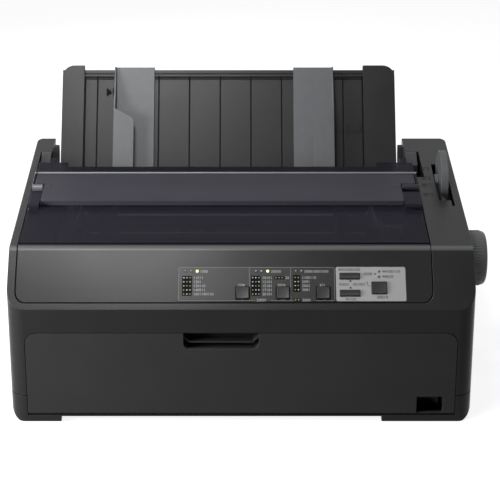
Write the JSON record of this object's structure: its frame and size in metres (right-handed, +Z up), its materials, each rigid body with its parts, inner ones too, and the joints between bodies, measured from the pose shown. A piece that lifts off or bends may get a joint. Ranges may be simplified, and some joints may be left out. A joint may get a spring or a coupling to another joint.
{
  "type": "dot matrix printer",
  "caption": "Desktop impact printer with a sloping control panel, smoked top cover and flap, tilting paper guide, side knob, release lever, drop-down front cover and rear tractors.",
  "frame": {"origin": "middle of the whole printer's footprint, knob included, on the surface it stands on", "axes": "+X across the printer towards its knob, +Y from the front face to the back wall, +Z up"},
  "size_m": [0.4254, 0.35, 0.2322],
  "materials": {
    "case": "fine-grained charcoal moulding",
    "panel": "fine-grained charcoal moulding",
    "front_cover": "fine-grained charcoal moulding",
    "guide": "fine-grained charcoal moulding",
    "edge_guide": "satin grey",
    "knob": "satin grey",
    "light_plastic": "satin light grey",
    "black_plastic": "matte black",
    "rocker": "satin dark grey",
    "keys": "satin dark grey",
    "natural": "unpainted white moulding",
    "dark_label": "printed film",
    "light_label": "printed film",
    "lamps": "green light-emitting diode lens",
    "smoke": "smoked clear plastic",
    "smoke_flap": "smoked clear plastic",
    "board": "solder-masked board",
    "feet": "matte",
    "platen_rubber": "ground rubber",
    "belt": "toothed belt",
    "steel": "ground bar",
    "sheet_steel": "zinc-plated sheet",
    "motor": "motor can",
    "brass": "machined",
    "head_alloy": "cast"
  },
  "bodies": {
    "chassis": {"lower_case": "case", "upper_case": "case", "control_housing": "panel", "rubber_feet": "feet", "case_screws": "steel", "panel_label": "dark_label", "key_label": "light_label", "indicator_lamps": "lamps", "panel_board": "board", "switch_housing": "black_plastic", "front_paper_tray": "black_plastic", "hinge_blocks": "light_plastic", "guide_brackets": "black_plastic", "side_frames": "sheet_steel", "mechanism_tray": "sheet_steel", "shaft_bushes": "natural", "stepper_motors": "motor", "paper_chute": "black_plastic", "carriage_rod": "steel", "head_rail": "sheet_steel", "timing_belt": "belt", "ribbon_cartridge": "black_plastic", "lever_bracket": "steel", "tractor_rod": "steel", "main_board": "board", "rear_connectors": "sheet_steel", "power_supply": "sheet_steel"},
    "front_cover": {"front_cover": "front_cover"},
    "printer_cover": {"printer_cover": "smoke"},
    "exit_flap": {"exit_flap": "smoke_flap"},
    "paper_guide": {"paper_guide": "guide"},
    "edge_guide_left": {"edge_guide_left": "edge_guide"},
    "edge_guide_right": {"edge_guide_right": "edge_guide"},
    "platen": {"platen_roller": "platen_rubber", "platen_shaft": "steel", "platen_gear": "natural", "platen_knob": "knob"},
    "idler_gear_front": {"idler_gear_front": "natural"},
    "idler_gear_rear": {"idler_gear_rear": "natural"},
    "feed_pinion": {"feed_pinion": "brass"},
    "tractor_shaft": {"tractor_shaft": "steel"},
    "tractor_left": {"tractor_frame_left": "black_plastic"},
    "tractor_right": {"tractor_frame_right": "black_plastic"},
    "sprocket_left": {"tractor_sprocket_left": "natural"},
    "sprocket_right": {"tractor_sprocket_right": "natural"},
    "carriage": {"carriage": "black_plastic", "print_head": "head_alloy"},
    "motor_pulley": {"motor_pulley": "natural"},
    "idler_pulley": {"idler_pulley": "natural"},
    "ribbon_knob": {"ribbon_knob": "rocker"},
    "release_lever": {"release_lever": "knob"},
    "thickness_lever": {"thickness_lever": "knob"},
    "power_rocker": {"power_rocker": "rocker"},
    "item_left_key": {"item_left_key": "keys"},
    "item_right_key": {"item_right_key": "keys"},
    "set_key": {"set_key": "keys"},
    "load_key": {"load_key": "keys"},
    "feed_key": {"feed_key": "keys"},
    "pause_key": {"pause_key": "keys"}
  },
  "joints": [
    {"name": "front_cover_hinge", "type": "hinge", "parent": "chassis", "child": "front_cover", "pos_m": [-0.0127, -0.172, 0.0105], "axis": [1, 0, 0], "range_deg": [0, 85]},
    {"name": "printer_cover_hinge", "type": "hinge", "parent": "chassis", "child": "printer_cover", "pos_m": [-0.0127, 0.063, 0.15543], "axis": [1, 0, 0], "range_deg": [-75, 0]},
    {"name": "exit_flap_hinge", "type": "hinge", "parent": "printer_cover", "child": "exit_flap", "pos_m": [-0.0127, -0.018, 0.15931], "axis": [1, 0, 0], "range_deg": [-60, 0]},
    {"name": "paper_guide_hinge", "type": "hinge", "parent": "chassis", "child": "paper_guide", "pos_m": [-0.0127, 0.065, 0.13484], "axis": [1, 0, 0], "range_deg": [-50, 0]},
    {"name": "edge_guide_left_slide", "type": "slide", "parent": "paper_guide", "child": "edge_guide_left", "axis": [1, 0, 0], "range_m": [-0.028, 0.06]},
    {"name": "edge_guide_right_slide", "type": "slide", "parent": "paper_guide", "child": "edge_guide_right", "axis": [1, 0, 0], "range_m": [-0.07, 0.027]},
    {"name": "platen_turn", "type": "hinge", "parent": "chassis", "child": "platen", "pos_m": [-0.0127, -0.029, 0.09491], "axis": [1, 0, 0], "continuous": true},
    {"name": "idler_front_turn", "type": "hinge", "parent": "chassis", "child": "idler_gear_front", "pos_m": [-0.0127, 0.01874, 0.0899], "axis": [1, 0, 0], "continuous": true},
    {"name": "idler_rear_turn", "type": "hinge", "parent": "chassis", "child": "idler_gear_rear", "pos_m": [-0.0127, 0.06647, 0.08488], "axis": [1, 0, 0], "continuous": true},
    {"name": "feed_pinion_turn", "type": "hinge", "parent": "chassis", "child": "feed_pinion", "pos_m": [-0.0127, 0.01852, 0.0569], "axis": [1, 0, 0], "continuous": true},
    {"name": "tractor_shaft_turn", "type": "hinge", "parent": "chassis", "child": "tractor_shaft", "pos_m": [-0.0127, 0.10824, 0.08049], "axis": [1, 0, 0], "continuous": true},
    {"name": "tractor_left_slide", "type": "slide", "parent": "chassis", "child": "tractor_left", "axis": [1, 0, 0], "range_m": [-0.014, 0.06]},
    {"name": "tractor_right_slide", "type": "slide", "parent": "chassis", "child": "tractor_right", "axis": [1, 0, 0], "range_m": [-0.08, 0.015]},
    {"name": "sprocket_left_turn", "type": "hinge", "parent": "tractor_left", "child": "sprocket_left", "pos_m": [-0.0127, 0.10824, 0.08049], "axis": [1, 0, 0], "continuous": true},
    {"name": "sprocket_right_turn", "type": "hinge", "parent": "tractor_right", "child": "sprocket_right", "pos_m": [-0.0127, 0.10824, 0.08049], "axis": [1, 0, 0], "continuous": true},
    {"name": "carriage_slide", "type": "slide", "parent": "chassis", "child": "carriage", "axis": [1, 0, 0], "range_m": [0, 0.2032]},
    {"name": "motor_pulley_turn", "type": "hinge", "parent": "chassis", "child": "motor_pulley", "pos_m": [-0.1487, -0.071, 0.055], "axis": [0, 0, 1], "continuous": true},
    {"name": "idler_pulley_turn", "type": "hinge", "parent": "chassis", "child": "idler_pulley", "pos_m": [0.0953, -0.071, 0.055], "axis": [0, 0, 1], "continuous": true},
    {"name": "ribbon_knob_turn", "type": "hinge", "parent": "chassis", "child": "ribbon_knob", "pos_m": [-0.1407, -0.103, 0.13], "axis": [0, 0, 1], "continuous": true},
    {"name": "release_lever_hinge", "type": "hinge", "parent": "chassis", "child": "release_lever", "pos_m": [0.1743, 0.005, 0.10788], "axis": [1, 0, 0], "range_deg": [0, 22]},
    {"name": "thickness_lever_hinge", "type": "hinge", "parent": "chassis", "child": "thickness_lever", "pos_m": [-0.1747, -0.087, 0.07191], "axis": [1, 0, 0], "range_deg": [-8, 10]},
    {"name": "power_rocker_hinge", "type": "hinge", "parent": "chassis", "child": "power_rocker", "pos_m": [0.1504, -0.1588, 0.017], "axis": [0, 0, 1], "range_deg": [0, 20]},
    {"name": "item_left_key_press", "type": "slide", "parent": "chassis", "child": "item_left_key", "axis": [0, 0.6951, -0.7189], "range_m": [0, 0.001], "stiffness_N_per_m": 300, "springref_m": -0.0005},
    {"name": "item_right_key_press", "type": "slide", "parent": "chassis", "child": "item_right_key", "axis": [0, 0.6951, -0.7189], "range_m": [0, 0.001], "stiffness_N_per_m": 300, "springref_m": -0.0005},
    {"name": "set_key_press", "type": "slide", "parent": "chassis", "child": "set_key", "axis": [0, 0.6951, -0.7189], "range_m": [0, 0.001], "stiffness_N_per_m": 300, "springref_m": -0.0005},
    {"name": "load_key_press", "type": "slide", "parent": "chassis", "child": "load_key", "axis": [0, 0.6951, -0.7189], "range_m": [0, 0.001], "stiffness_N_per_m": 300, "springref_m": -0.0005},
    {"name": "feed_key_press", "type": "slide", "parent": "chassis", "child": "feed_key", "axis": [0, 0.6951, -0.7189], "range_m": [0, 0.001], "stiffness_N_per_m": 300, "springref_m": -0.0005},
    {"name": "pause_key_press", "type": "slide", "parent": "chassis", "child": "pause_key", "axis": [0, 0.6951, -0.7189], "range_m": [0, 0.001], "stiffness_N_per_m": 300, "springref_m": -0.0005}
  ],
  "couplings": [
    {"joint": "idler_front_turn", "follows": "platen_turn", "ratio": -1},
    {"joint": "idler_rear_turn", "follows": "platen_turn", "ratio": 1},
    {"joint": "feed_pinion_turn", "follows": "platen_turn", "ratio": 2.6667},
    {"joint": "tractor_shaft_turn", "follows": "platen_turn", "ratio": -1.3333},
    {"joint": "sprocket_left_turn", "follows": "platen_turn", "ratio": -1.3333},
    {"joint": "sprocket_right_turn", "follows": "platen_turn", "ratio": -1.3333},
    {"joint": "motor_pulley_turn", "follows": "carriage_slide", "rad_per_m": 105.26},
    {"joint": "idler_pulley_turn", "follows": "carriage_slide", "rad_per_m": 105.26}
  ]
}
